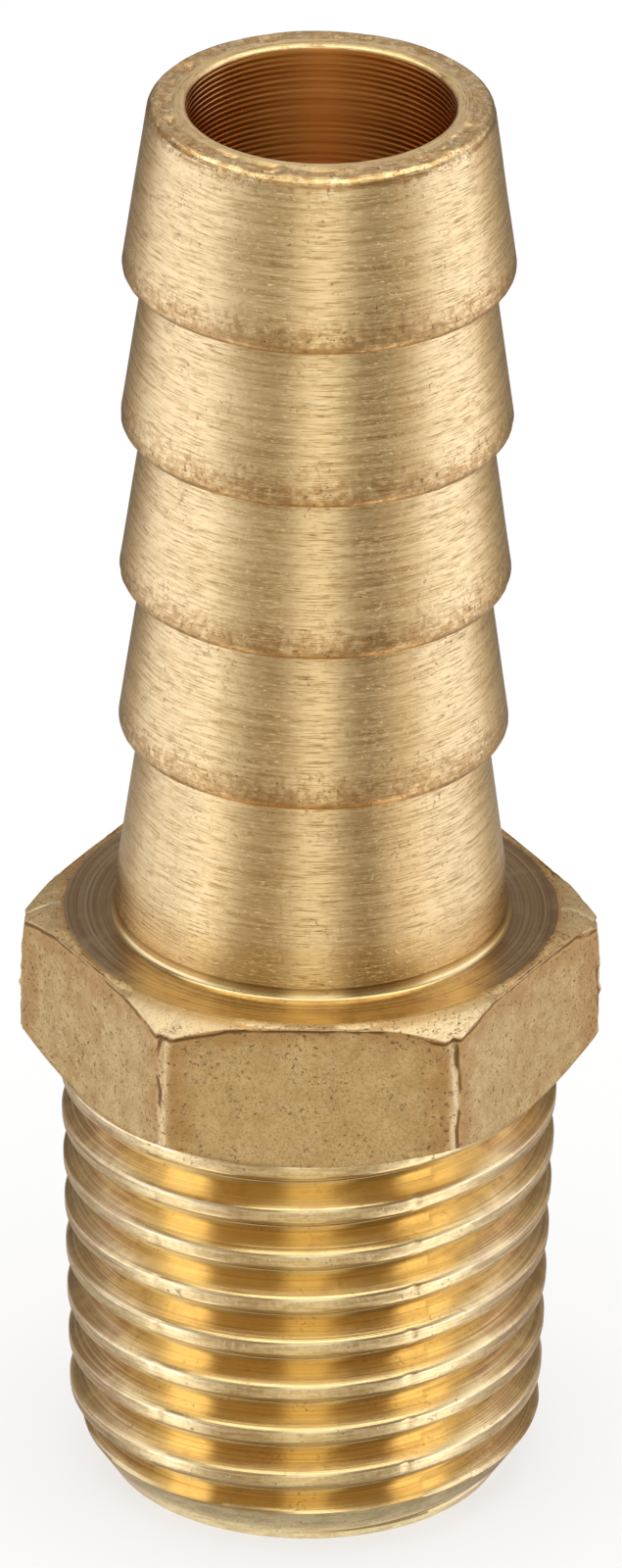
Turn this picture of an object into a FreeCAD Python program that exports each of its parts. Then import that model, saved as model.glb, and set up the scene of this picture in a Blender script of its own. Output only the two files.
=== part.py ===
import FreeCAD, Part
import math
import os
import Sketcher
from FreeCAD import Placement, Rotation, Vector

# A hose barb tail, turned from one piece of brass, in millimetres.
# It stands on the end face of its tapered thread, with the axis of its bore on Z.
# A wrench flat faces -Y, so that two corners of the hexagon lie on the X axis.

NODE = "hose_barb_tail"

# Name, value and meaning of every size that can be set by itself.
SIZES = [
    ("across_flats", 13.90, "wrench size of the hexagon"),
    ("hex_thickness", 4.35, "underside of the hexagon to the shoulder face"),
    ("hex_chamfer", 30.0, "slope of the chamfers on the hexagon's ends, degrees"),
    ("corner_circle", 16.04, "diameter that the corners of the hexagon are turned to"),
    ("corner_top_circle", 15.72, "the same at the foot of the upper chamfer"),
    ("corner_lean", 1.50, "height over which the corners lean in below that chamfer"),
    ("shoulder_face", 14.40, "diameter of the turned face round the neck"),
    ("thread_length", 12.50, "end face to the underside of the hexagon"),
    ("thread_major", 13.74, "crest diameter where the thread meets the hexagon"),
    ("thread_pitch", 1.4111, "eighteen turns to 25.4 mm"),
    ("thread_taper", 1.7899, "half angle of a taper of one in sixteen, degrees"),
    ("thread_depth", 0.80, "crest to root"),
    ("crest_land", 0.43, "width of the flat crest"),
    ("flank_angle", 30.0, "slope of each flank, degrees"),
    ("groove_lead", 2.20, "start of the groove's middle at +X, below the end face"),
    ("end_face", 11.00, "outer diameter of the end face"),
    ("end_chamfer", 1.55, "height of the chamfer round the end face"),
    ("neck_length", 5.70, "shoulder face to the lowest ledge"),
    ("neck_foot", 10.84, "diameter of the neck at the shoulder face"),
    ("neck_flare", 10.60, "diameter where the neck's two cones meet"),
    ("flare_height", 1.50, "shoulder face to that diameter"),
    ("neck_fillet", 0.20, "fillet between the neck and the shoulder face"),
    ("barb_count", 4, "number of barbs"),
    ("barb_pitch", 4.58, "ledge to ledge"),
    ("barb_edge", 10.74, "diameter of a barb's edge before rounding"),
    ("barb_root", 9.46, "diameter under each ledge"),
    ("barb_round", 0.29, "rounding of a barb's edge"),
    ("nose_land", 0.43, "top of the highest barb to the lip"),
    ("lip_diameter", 9.34, "outside of the lip"),
    ("lip_round", 0.30, "rounding of the lip's outer edge"),
    ("bore_diameter", 7.25, "straight bore from end to end"),
    ("mouth_round", 0.18, "rounding of the bore's edge at the lip"),
    ("bore_break", 0.20, "chamfer on the bore's edge at the end face"),
]

# Heights and radii that follow from the sizes, as rules for the document.
SHOULDER = "(Sizes.thread_length + Sizes.hex_thickness)"
LOWEST_LEDGE = f"({SHOULDER} + Sizes.neck_length)"
TOP_OF_BARBS = f"({LOWEST_LEDGE} + Sizes.barb_count * Sizes.barb_pitch)"
LIP = f"({TOP_OF_BARBS} + Sizes.nose_land)"
BORE_RADIUS = "(Sizes.bore_diameter / 2)"
ROOT_RADIUS = "(Sizes.barb_root / 2)"
MIDDLE = "0"

# Smallest share of the stub that a real thread removes.
LEAST_CUT = 0.01

doc = FreeCAD.newDocument(NODE)


def fill_sheet():
    """One row for each size: its name, its plain number and what it means."""
    sheet = doc.addObject("Spreadsheet::Sheet", "Sizes")
    for row, (alias, value, meaning) in enumerate(SIZES, start=1):
        sheet.set(f"A{row}", alias)
        sheet.set(f"B{row}", str(value))
        sheet.set(f"C{row}", meaning)
        sheet.setAlias(f"B{row}", alias)
    doc.recompute()
    return sheet


def crest_radius(height):
    """Rule for the radius of the thread's crest at a height below the hexagon."""
    return f"(Sizes.thread_major / 2 - (Sizes.thread_length - {height}) * tan(Sizes.thread_taper))"


GROOVE_CREST = crest_radius("-Sizes.groove_lead")


def value_of(rule):
    """Present number behind a rule."""
    return float(sheet.evalExpression(rule))


def plane_of(body, role):
    """Origin plane of the body with this role."""
    return next(face for face in body.Origin.OriginFeatures if face.Role == role)


def new_sketch(body, name, role):
    """Empty sketch laid flat on one of the body's origin planes."""
    sketch = body.newObject("Sketcher::SketchObject", name)
    sketch.AttachmentSupport = (plane_of(body, role), [""])
    sketch.MapMode = "FlatFace"
    return sketch


def pin_point(sketch, geometry, end, across, up):
    """Hold one point of the sketch at two rules, measured from the origin."""
    for kind, axis, rule in (("DistanceX", -2, across), ("DistanceY", -1, up)):
        if rule == MIDDLE:
            sketch.addConstraint(Sketcher.Constraint("PointOnObject", geometry, end, axis))
            continue
        index = sketch.addConstraint(
            Sketcher.Constraint(kind, -1, 1, geometry, end, value_of(rule)))
        sketch.setExpression(f"Constraints[{index}]", rule)


def tangent_points(before, corner, after, radius):
    """Ends and centre of the arc that rounds a corner between two straight sides."""
    to_before = (before - corner).normalize()
    to_after = (after - corner).normalize()
    half = to_before.getAngle(to_after) / 2
    reach = radius / math.tan(half)
    centre = corner + (to_before + to_after).normalize() * (radius / math.sin(half))
    return corner + to_before * reach, corner + to_after * reach, centre


def closed_outline(sketch, corners):
    """Straight sides through the corners, in order.

    A corner is two rules, across and up, and may have a third for its rounding.
    A rounded corner keeps a construction point where its two sides would meet.
    """
    points = [Vector(value_of(corner[0]), value_of(corner[1]), 0) for corner in corners]
    count = len(corners)
    leave = list(points)
    arrive = list(points)
    centres = {}
    for i, corner in enumerate(corners):
        if len(corner) == 3:
            arrive[i], leave[i], centres[i] = tangent_points(
                points[i - 1], points[i], points[(i + 1) % count], value_of(corner[2]))
    sides = [sketch.addGeometry(Part.LineSegment(leave[i], arrive[(i + 1) % count]))
             for i in range(count)]
    for i, corner in enumerate(corners):
        side_in, side_out = sides[i - 1], sides[i]
        if i not in centres:
            sketch.addConstraint(Sketcher.Constraint("Coincident", side_in, 2, side_out, 1))
            pin_point(sketch, side_out, 1, corner[0], corner[1])
            continue
        round_corner(sketch, side_in, side_out, corner, points[i], arrive[i], leave[i], centres[i])


def round_corner(sketch, side_in, side_out, corner, point, start, end, centre):
    """Arc between two sides, tangent to both, with its radius bound to a rule."""
    spoke_in, spoke_out = start - centre, end - centre
    turn = spoke_in.x * spoke_out.y - spoke_in.y * spoke_out.x
    first, last = (spoke_in, spoke_out) if turn > 0 else (spoke_out, spoke_in)
    circle = Part.Circle(centre, Vector(0, 0, 1), spoke_in.Length)
    arc = sketch.addGeometry(Part.ArcOfCircle(
        circle, math.atan2(first.y, first.x), math.atan2(last.y, last.x)))
    arc_in, arc_out = (1, 2) if turn > 0 else (2, 1)
    sketch.addConstraint(Sketcher.Constraint("Tangent", side_in, 2, arc, arc_in))
    sketch.addConstraint(Sketcher.Constraint("Tangent", arc, arc_out, side_out, 1))
    index = sketch.addConstraint(Sketcher.Constraint("Radius", arc, value_of(corner[2])))
    sketch.setExpression(f"Constraints[{index}]", corner[2])
    meeting = sketch.addGeometry(Part.Point(point), True)
    pin_point(sketch, meeting, 1, corner[0], corner[1])
    sketch.addConstraint(Sketcher.Constraint("PointOnObject", meeting, 1, side_in))
    sketch.addConstraint(Sketcher.Constraint("PointOnObject", meeting, 1, side_out))


def turned(body, kind, name, corners):
    """Revolution or Groove of a half section about the axis of the bore."""
    sketch = new_sketch(body, name + "_section", "XZ_Plane")
    closed_outline(sketch, corners)
    feature = body.newObject("PartDesign::" + kind, name)
    feature.Profile = sketch
    feature.ReferenceAxis = (sketch, ["V_Axis"])
    feature.Angle = 360
    doc.recompute()
    return feature


def add_thread_blank(body):
    """Tapered stub for the thread, which also fills the middle of the hexagon."""
    turned(body, "Revolution", "thread_blank", [
        (MIDDLE, MIDDLE),
        ("Sizes.end_face / 2", MIDDLE),
        (crest_radius("Sizes.end_chamfer"), "Sizes.end_chamfer"),
        ("Sizes.thread_major / 2", "Sizes.thread_length"),
        ("Sizes.thread_major / 2", SHOULDER),
        (MIDDLE, SHOULDER),
    ])


def add_thread_path():
    """Right-handed helix of single turns along the root of the thread."""
    path = doc.addObject("Part::Helix", "thread_path")
    path.SegmentLength = 1
    path.setExpression("Radius", f"{GROOVE_CREST} - Sizes.thread_depth")
    path.setExpression("Pitch", "Sizes.thread_pitch")
    path.setExpression("Height", "Sizes.groove_lead + Sizes.thread_length + Sizes.thread_pitch / 2")
    path.setExpression("Angle", "Sizes.thread_taper")
    path.setExpression("Placement.Base.z", "-Sizes.groove_lead")
    doc.recompute()
    return path


def add_thread_groove(body):
    """Groove between the crests, from below the end face up under the hexagon.

    Its section is a trapezium that stands out past the crest by half a land,
    so that it cuts cleanly and its turns stay apart.
    """
    path = add_thread_path()
    inner = f"({GROOVE_CREST} - Sizes.thread_depth)"
    outer = f"({GROOVE_CREST} + Sizes.crest_land / 2)"
    half_mouth = "(Sizes.thread_pitch - Sizes.crest_land) / 2"
    inner_half = f"({half_mouth} - Sizes.thread_depth * tan(Sizes.flank_angle))"
    outer_half = f"({half_mouth} + Sizes.crest_land / 2 * tan(Sizes.flank_angle))"
    section = new_sketch(body, "thread_groove_section", "XZ_Plane")
    closed_outline(section, [
        (inner, f"-Sizes.groove_lead - {inner_half}"),
        (outer, f"-Sizes.groove_lead - {outer_half}"),
        (outer, f"-Sizes.groove_lead + {outer_half}"),
        (inner, f"-Sizes.groove_lead + {inner_half}"),
    ])
    blank_volume = body.Tip.Shape.Volume
    groove = body.newObject("PartDesign::SubtractivePipe", "thread_groove")
    groove.Profile = section
    groove.Spine = (path, [f"Edge{number}" for number in range(1, len(path.Shape.Edges) + 1)])
    groove.Mode = "Frenet"
    doc.recompute()
    if groove.Shape.Volume > blank_volume * (1 - LEAST_CUT):
        raise RuntimeError("the thread's groove cut nothing")


def add_hexagon(body):
    """Hexagon with a side along X at the front, on top of the thread."""
    sketch = new_sketch(body, "hexagon_section", "XY_Plane")
    sketch.setExpression(".AttachmentOffset.Base.z", "Sizes.thread_length")
    corner_rule = "Sizes.across_flats / 2 / cos(30)"
    radius = value_of(corner_rule)
    ring = [Vector(radius * math.cos(math.radians(60 * i)), radius * math.sin(math.radians(60 * i)), 0)
            for i in range(6)]
    circle = sketch.addGeometry(Part.Circle(Vector(0, 0, 0), Vector(0, 0, 1), radius), True)
    sketch.addConstraint(Sketcher.Constraint("Coincident", circle, 3, -1, 1))
    index = sketch.addConstraint(Sketcher.Constraint("Radius", circle, radius))
    sketch.setExpression(f"Constraints[{index}]", corner_rule)
    sides = [sketch.addGeometry(Part.LineSegment(ring[i], ring[(i + 1) % 6])) for i in range(6)]
    for i, side in enumerate(sides):
        sketch.addConstraint(Sketcher.Constraint("Coincident", sides[i - 1], 2, side, 1))
        sketch.addConstraint(Sketcher.Constraint("PointOnObject", side, 1, circle))
        if i > 0:
            sketch.addConstraint(Sketcher.Constraint("Equal", sides[0], side))
    sketch.addConstraint(Sketcher.Constraint("PointOnObject", sides[0], 1, -1))
    hexagon = body.newObject("PartDesign::Pad", "hexagon")
    hexagon.Profile = sketch
    hexagon.setExpression("Length", "Sizes.hex_thickness")
    doc.recompute()


def turn_hexagon_corners(body):
    """Cut away what stands outside the turned outline of the hexagon.

    The underside is chamfered from the flats, the shoulder from its turned face,
    and below that upper chamfer the corners lean in a little.
    """
    corner = "Sizes.corner_circle / 2"
    upper_corner = "Sizes.corner_top_circle / 2"
    flat = "Sizes.across_flats / 2"
    slope = "tan(Sizes.hex_chamfer)"
    outside = "Sizes.across_flats"
    under_chamfer = f"Sizes.thread_length + ({corner} - {flat}) * {slope}"
    upper_chamfer = f"{SHOULDER} - ({upper_corner} - Sizes.shoulder_face / 2) * {slope}"
    turned(body, "Groove", "hexagon_turning", [
        (flat, "Sizes.thread_length"),
        (corner, under_chamfer),
        (corner, f"{upper_chamfer} - Sizes.corner_lean"),
        (upper_corner, upper_chamfer),
        ("Sizes.shoulder_face / 2", SHOULDER),
        (outside, SHOULDER),
        (outside, "Sizes.thread_length"),
    ])


def add_neck_and_core(body):
    """Neck of two cones, then the core that carries the barbs, up to the lip."""
    turned(body, "Revolution", "neck_and_core", [
        (MIDDLE, SHOULDER),
        ("Sizes.neck_foot / 2", SHOULDER),
        ("Sizes.neck_flare / 2", f"{SHOULDER} + Sizes.flare_height"),
        (ROOT_RADIUS, LOWEST_LEDGE),
        (ROOT_RADIUS, TOP_OF_BARBS),
        ("Sizes.lip_diameter / 2", LIP, "Sizes.lip_round"),
        (MIDDLE, LIP),
    ])


def add_barbs(body):
    """The lowest barb, a cone over a flat ledge with a rounded edge, and its copies."""
    barb = turned(body, "Revolution", "barb", [
        (BORE_RADIUS, LOWEST_LEDGE),
        ("Sizes.barb_edge / 2", LOWEST_LEDGE, "Sizes.barb_round"),
        (ROOT_RADIUS, f"{LOWEST_LEDGE} + Sizes.barb_pitch"),
        (BORE_RADIUS, f"{LOWEST_LEDGE} + Sizes.barb_pitch"),
    ])
    row = body.newObject("PartDesign::LinearPattern", "barb_row")
    row.Originals = [barb]
    row.Direction = (barb.Profile[0], ["V_Axis"])
    row.setExpression("Length", "Sizes.barb_pitch * (Sizes.barb_count - 1)")
    row.setExpression("Occurrences", "Sizes.barb_count")
    body.Tip = row
    doc.recompute()


def cut_bore(body):
    """Straight bore from end to end, with a small chamfer at the end face."""
    turned(body, "Groove", "bore", [
        (MIDDLE, MIDDLE),
        (f"{BORE_RADIUS} + Sizes.bore_break", MIDDLE),
        (BORE_RADIUS, "Sizes.bore_break"),
        (BORE_RADIUS, LIP),
        (MIDDLE, LIP),
    ])


def round_edge(body, name, circle_radius, height, radius):
    """Fillet on the edge of the turned shape that has this radius and height."""
    wanted_radius = value_of(circle_radius)
    wanted_height = value_of(height)
    base = body.Tip
    near = 0.001
    names = [f"Edge{number}" for number, edge in enumerate(base.Shape.Edges, start=1)
             if isinstance(edge.Curve, Part.Circle)
             and abs(edge.Curve.Radius - wanted_radius) < near
             and abs(edge.Curve.Center.z - wanted_height) < near]
    fillet = body.newObject("PartDesign::Fillet", name)
    fillet.Base = (base, names)
    fillet.setExpression("Radius", radius)
    doc.recompute()


def stop_if_broken(body):
    """Refuse to write a shape from a document with a failed object or a bad solid."""
    failed = [item.Name for item in doc.Objects if "Invalid" in item.State or "Error" in item.State]
    if failed:
        raise RuntimeError("failed objects: " + ", ".join(failed))
    if body.Shape.isNull() or not body.Shape.isValid() or len(body.Shape.Solids) != 1:
        raise RuntimeError(body.Label + " is not one valid solid")


sheet = fill_sheet()
tail = doc.addObject("PartDesign::Body", NODE)
tail.Label = NODE
tail.Placement = Placement(Vector(0, 0, 0), Rotation(Vector(0, 0, 1), 0))
add_thread_blank(tail)
add_thread_groove(tail)
add_hexagon(tail)
turn_hexagon_corners(tail)
add_neck_and_core(tail)
add_barbs(tail)
cut_bore(tail)
round_edge(tail, "neck_fillet", "Sizes.neck_foot / 2", SHOULDER, "Sizes.neck_fillet")
round_edge(tail, "mouth_rounding", BORE_RADIUS, LIP, "Sizes.mouth_round")
doc.recompute()
stop_if_broken(tail)

os.makedirs("parts", exist_ok=True)
tail.Shape.exportStep(f"parts/{tail.Label}.step")
box = tail.Shape.BoundBox
print(f"{tail.Label}: {box.XLength:.3f} x {box.YLength:.3f} x {box.ZLength:.3f} mm, "
      f"volume {tail.Shape.Volume:.2f} mm3, {len(tail.Shape.Faces)} faces")
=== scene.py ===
# %% [markdown]
# This lesson dresses a brass hose barb tail, a pipe fitting that is turned from
# one hexagon bar. A hose is pushed over the ringed end at the top, a spanner
# holds the hexagon, and the tapered thread at the bottom screws into a pipe.
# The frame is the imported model, which fixes every size and place. The new
# pieces keep to it and add what a quick turned solid doesn't show: dents,
# burrs, tool lines, blasted grain and tarnish.

# %% Load the frame
import bpy
import numpy as np
from mathutils import Matrix


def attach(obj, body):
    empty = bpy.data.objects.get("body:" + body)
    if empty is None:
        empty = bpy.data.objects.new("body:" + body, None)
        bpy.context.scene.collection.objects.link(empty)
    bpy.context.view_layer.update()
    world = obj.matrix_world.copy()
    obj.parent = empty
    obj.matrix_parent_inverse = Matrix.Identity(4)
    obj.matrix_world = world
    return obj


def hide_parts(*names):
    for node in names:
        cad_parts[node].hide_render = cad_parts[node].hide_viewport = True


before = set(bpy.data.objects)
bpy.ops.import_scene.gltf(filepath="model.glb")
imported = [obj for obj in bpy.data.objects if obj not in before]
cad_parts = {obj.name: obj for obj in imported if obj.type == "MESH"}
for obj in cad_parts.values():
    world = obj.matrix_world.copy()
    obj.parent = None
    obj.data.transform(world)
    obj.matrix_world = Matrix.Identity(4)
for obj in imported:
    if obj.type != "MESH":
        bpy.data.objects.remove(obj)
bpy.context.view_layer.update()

MM = 0.001
NODE = "hose_barb_tail"

# %% [markdown]
# The camera comes first, because every later choice is judged through it. The
# photograph was taken with a long lens from about 28 degrees above the bench.
# A camera could be aimed with a constraint, but the other views move it, so it
# gets a plain place and three axes worked out from the view direction.

# %% Camera
VIEW_RISE = np.radians(27.865)
VIEW_ROLL = np.radians(0.724)
VIEW_DISTANCE = 493.42
AIM = np.array([-0.044, 0.0, 20.641])
FOCAL_PIXELS = 18424.0
PHOTO_HEIGHT = 1600.0
SENSOR = 36.0


def camera_axes(rise, roll):
    """Right, up and back directions: level axes tipped down by rise, then rolled about the view line."""
    forward = np.array([0.0, np.cos(rise), -np.sin(rise)])
    level = np.array([1.0, 0.0, 0.0])
    upward = np.array([0.0, np.sin(rise), np.cos(rise)])
    right = level * np.cos(roll) + upward * np.sin(roll)
    up = -level * np.sin(roll) + upward * np.cos(roll)
    return right, up, -forward


def placed(name, data):
    """A new object in the scene that shows the given data."""
    thing = bpy.data.objects.new(name, data)
    bpy.context.scene.collection.objects.link(thing)
    return thing


def add_camera():
    """A long-lens camera whose matrix columns are its right, up and back directions and its place."""
    axes = camera_axes(VIEW_RISE, VIEW_ROLL)
    data = bpy.data.cameras.new("camera")
    data.sensor_width = SENSOR
    data.lens = FOCAL_PIXELS * SENSOR / PHOTO_HEIGHT
    data.clip_start = 0.01
    data.clip_end = 10.0
    camera = placed("camera", data)
    place = np.eye(4)
    place[:3, :3] = np.stack(axes, axis=1)
    place[:3, 3] = (AIM + axes[2] * VIEW_DISTANCE) * MM
    camera.matrix_world = Matrix(place.tolist())
    bpy.context.scene.camera = camera
    return camera


camera = add_camera()
bpy.context.scene.view_settings.view_transform = "Standard"
print("camera stands at", [round(value, 4) for value in camera.matrix_world.translation])

# %% [markdown]
# Nothing on a machined and tumbled part is perfectly even. The unevenness comes
# from tables of seeded random numbers that are blended smoothly, wrapped round
# the axis so that no seam shows. A noise modifier would do it too, but a table
# can be aimed at one edge and kept inside the frame's box.

# %% Smooth unevenness
def smooth(value):
    """Eases 0 to 1 with a flat start and a flat end: three squares less two cubes."""
    value = np.clip(value, 0.0, 1.0)
    return value * value * (3.0 - 2.0 * value)


def bump_at(value, centre, width):
    """One soft hump: 1 at the centre, falling to 0 a width away on both sides."""
    return smooth(1.0 - np.abs(value - centre) / width)


def lumps(turn, along, count, spacing, seed):
    """Random heights from -1 to 1, count of them round the axis and one per spacing along it, blended smoothly."""
    first = float(np.min(along))
    rows = (along - first) / spacing
    table = np.random.default_rng(seed).uniform(-1.0, 1.0, (int(np.max(rows)) + 2, count))
    columns = np.mod(turn, 1.0) * count
    row = np.floor(rows).astype(int)
    column = np.floor(columns).astype(int) % count
    beside = (column + 1) % count
    down = smooth(rows - row)
    across = smooth(columns - np.floor(columns))
    near = table[row, column] * (1.0 - across) + table[row, beside] * across
    far = table[row + 1, column] * (1.0 - across) + table[row + 1, beside] * across
    return near * (1.0 - down) + far * down


def rough_lumps(turn, along, count, spacing, seed):
    """Three layers of lumps, each half the size and about half the height of the one before."""
    total = lumps(turn, along, count, spacing, seed)
    total = total + 0.5 * lumps(turn, along, count * 2, spacing / 2, seed + 1)
    total = total + 0.25 * lumps(turn, along, count * 4, spacing / 4, seed + 2)
    return total / 1.75


def round_lumps(turn, count, seed):
    """Lumps that change round the axis only."""
    return lumps(turn, 0.0 * turn, count, 1.0, seed)


def patches(turn, along, layer, base, strength=1.0):
    """Rough lumps times a strength, raised by a base and cut to 0 to 1. A layer is a count, a spacing and a seed."""
    return np.clip(strength * rough_lumps(turn, along, *layer) + base, 0.0, 1.0)


# %% [markdown]
# A turned shape is a profile carried round an axis. Each corner of the profile
# is rounded by an arc between its two tangent points, and long straight runs
# are cut into short ones. The rows that come out are the first parameter of
# the surface, and the turn about the axis is the second.

# %% Profiles
def arc_points(before, corner, after, radius, steps):
    """Points on the arc that touches both lines at a corner; it starts radius / tan(half angle) before the corner."""
    back = (before - corner) / np.linalg.norm(before - corner)
    ahead = (after - corner) / np.linalg.norm(after - corner)
    half = np.arccos(np.clip(back @ ahead, -1.0, 1.0)) / 2.0
    middle = (back + ahead) / np.linalg.norm(back + ahead)
    centre = corner + middle * radius / np.sin(half)
    start = corner + back * radius / np.tan(half) - centre
    end = corner + ahead * radius / np.tan(half) - centre
    sweep = np.pi - 2.0 * half
    share = np.linspace(0.0, 1.0, steps + 1)[:, None]
    return centre + (start * np.sin((1.0 - share) * sweep) + end * np.sin(share * sweep)) / np.sin(sweep)


def straight_points(start, end, spacing):
    """Points after the start and before the end of a straight run, no further apart than the spacing."""
    count = max(1, int(np.ceil(np.linalg.norm(end - start) / spacing)))
    share = np.linspace(0.0, 1.0, count + 1)[1:-1, None]
    return start + (end - start) * share


def profile_rows(corners):
    """Rows (radius, height) of a profile. A corner is radius, height, rounding, its steps and the spacing after it."""
    places = [np.array(corner[:2], float) for corner in corners]
    rows = []
    for index, (_, _, rounding, steps, spacing) in enumerate(corners):
        before, here, after = places[index - 1], places[index], places[(index + 1) % len(places)]
        bend = arc_points(before, here, after, rounding, steps) if rounding else here[None, :]
        if rows:
            rows.append(straight_points(rows[-1][-1], bend[0], last_spacing))
        rows.append(bend)
        last_spacing = spacing
    rows.append(straight_points(rows[-1][-1], rows[0][0], last_spacing))
    return np.concatenate(rows)


def run_along(rows):
    """How far each row lies along its profile."""
    steps = np.linalg.norm(np.diff(rows, axis=0), axis=1)
    return np.concatenate([[0.0], np.cumsum(steps)])


# %% [markdown]
# The grids become closed meshes: the last column joins the first round the
# axis, and the last row of the profile joins the first through the bore. The
# count of open edges and the enclosed volume are printed for each piece,
# because a closed shell that faces outwards has none and a positive one.

# %% Grids and meshes
def ring_faces(row_count, column_count):
    """Four corners for each cell of a grid that closes both ways, turned so that its faces look outwards."""
    row, column = np.meshgrid(np.arange(row_count), np.arange(column_count), indexing="ij")
    beyond = (row + 1) % row_count
    beside = (column + 1) % column_count
    cells = [row * column_count + column, row * column_count + beside,
             beyond * column_count + beside, beyond * column_count + column]
    return np.stack(cells, axis=-1).reshape(-1, 4)


def turned_points(radius, height, turn):
    """Places in mm at a radius and a height on the axis, turned by a share of a full circle from +X towards +Y."""
    angle = 2.0 * np.pi * turn
    return np.stack([radius * np.cos(angle), radius * np.sin(angle), height], axis=-1).reshape(-1, 3)


def enclosed_volume(points, faces):
    """Sum over the faces of the signed tetrahedra to the origin, two per four-cornered face."""
    a, b, c, d = (points[faces[:, k]] for k in range(4))
    first = np.einsum("ij,ij->i", a, np.cross(b, c))
    second = np.einsum("ij,ij->i", a, np.cross(c, d))
    return (first.sum() + second.sum()) / 6.0


SHARP_FROM = np.radians(63.0)


def add_piece(name, points, faces, finishes, finish_index, **point_values):
    """A mesh object from points in mm, faces of four corners (three where two repeat) and values at its points."""
    three = faces[:, 2] == faces[:, 3]
    loops = np.concatenate([faces[~three].ravel(), faces[three][:, :3].ravel()])
    sizes = np.concatenate([np.full((~three).sum(), 4), np.full(three.sum(), 3)])
    mesh = bpy.data.meshes.new(name)
    mesh.vertices.add(len(points))
    mesh.vertices.foreach_set("co", (points * MM).astype(np.float32).ravel())
    mesh.loops.add(len(loops))
    mesh.loops.foreach_set("vertex_index", loops.astype(np.int32))
    mesh.polygons.add(len(sizes))
    mesh.polygons.foreach_set("loop_start", np.concatenate([[0], np.cumsum(sizes)[:-1]]).astype(np.int32))
    mesh.polygons.foreach_set("loop_total", sizes.astype(np.int32))
    for finish in finishes:
        mesh.materials.append(finish)
    order = np.concatenate([finish_index[~three], finish_index[three]])
    mesh.polygons.foreach_set("material_index", order.astype(np.int32))
    mesh.update(calc_edges=True)
    for label, values in point_values.items():
        layer = mesh.attributes.new(label, "FLOAT", "POINT")
        layer.data.foreach_set("value", np.asarray(values, np.float32).ravel())
    mesh.polygons.foreach_set("use_smooth", np.ones(len(sizes), bool))
    mesh.set_sharp_from_angle(angle=SHARP_FROM)
    piece = placed(name, mesh)
    edges = np.zeros(len(loops), np.int32)
    mesh.loops.foreach_get("edge_index", edges)
    uses = np.bincount(edges, minlength=len(mesh.edges))
    print(name, "triangles", int((sizes - 2).sum()), "open or crossed edges", int((uses != 2).sum()),
          "volume mm3", round(enclosed_volume(points, faces), 1))
    return piece


# %% [markdown]
# Brass has one metal colour but many finishes: the tumbled tail is satin with
# fine rings, the thread and the shoulder are freshly cut and golden, the
# hexagon is blasted and grainy. Effects that several finishes share, such as
# rings, specks and tarnish, are node groups that put out plain masks and
# heights. Image textures would be quicker but would smear when seen close.

# %% Node helpers
def add_node(tree, kind, inputs=None, **settings):
    """Adds a shader node, sets its properties, and fills its inputs with numbers, colours or other nodes' sockets."""
    node = tree.nodes.new("ShaderNode" + kind)
    for key, value in settings.items():
        setattr(node, key, value)
    for key, value in (inputs or {}).items():
        if isinstance(value, bpy.types.NodeSocket):
            tree.links.new(value, node.inputs[key])
        else:
            node.inputs[key].default_value = value
    return node


def math_of(operation, first, second=0.0, third=0.0):
    """The result socket of one Math node, in the tree of those values that are sockets."""
    values = (first, second, third)
    tree = next(value.id_data for value in values if isinstance(value, bpy.types.NodeSocket))
    return add_node(tree, "Math", dict(enumerate(values)), operation=operation).outputs[0]


def times(first, second):
    """The product of two values."""
    return math_of("MULTIPLY", first, second)


def added(value, factor, base):
    """A value times a factor, added to a base."""
    return math_of("MULTIPLY_ADD", value, factor, base)


def larger(first, second):
    """The larger of two values."""
    return math_of("MAXIMUM", first, second)


def eased(value, low, high, start=0.0, end=1.0):
    """A value eased from start to end while the input goes from low to high."""
    inputs = {"Value": value, "From Min": low, "From Max": high, "To Min": start, "To Max": end}
    return add_node(value.id_data, "MapRange", inputs, interpolation_type="SMOOTHSTEP").outputs["Result"]


def mixed_colour(share, first, second):
    """The first colour where the share is 0 and the second where it is 1."""
    return add_node(share.id_data, "Mix", {0: share, 6: first, 7: second}, data_type="RGBA").outputs[2]


def layered(colour, *layers):
    """A colour covered by others in turn, each given as its share and its colour."""
    for share, cover in layers:
        colour = mixed_colour(share, colour, cover)
    return colour


def noise_of(place, scale, detail, roughness=0.5):
    """Plain noise; the scale is about the number of lumps in each mm."""
    inputs = {"Vector": place, "Scale": scale, "Detail": detail, "Roughness": roughness}
    return add_node(place.id_data, "TexNoise", inputs).outputs["Fac"]


def new_group(name, output, **numbers):
    """An empty node group: its tree, its inputs, which are a place and some numbers, and its one output."""
    tree = bpy.data.node_groups.new(name, "ShaderNodeTree")
    tree.interface.new_socket("Place", in_out="INPUT", socket_type="NodeSocketVector")
    for label, default in numbers.items():
        socket = tree.interface.new_socket(label, in_out="INPUT", socket_type="NodeSocketFloat")
        socket.default_value = default
    tree.interface.new_socket(output, in_out="OUTPUT", socket_type="NodeSocketFloat")
    return tree, tree.nodes.new("NodeGroupInput").outputs, tree.nodes.new("NodeGroupOutput").inputs[output]


def use_group(group, *inputs):
    """The output of a group placed in a material, its inputs given in their order, the place first."""
    return add_node(inputs[0].id_data, "Group", dict(enumerate(inputs)), node_tree=group).outputs[0]


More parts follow.
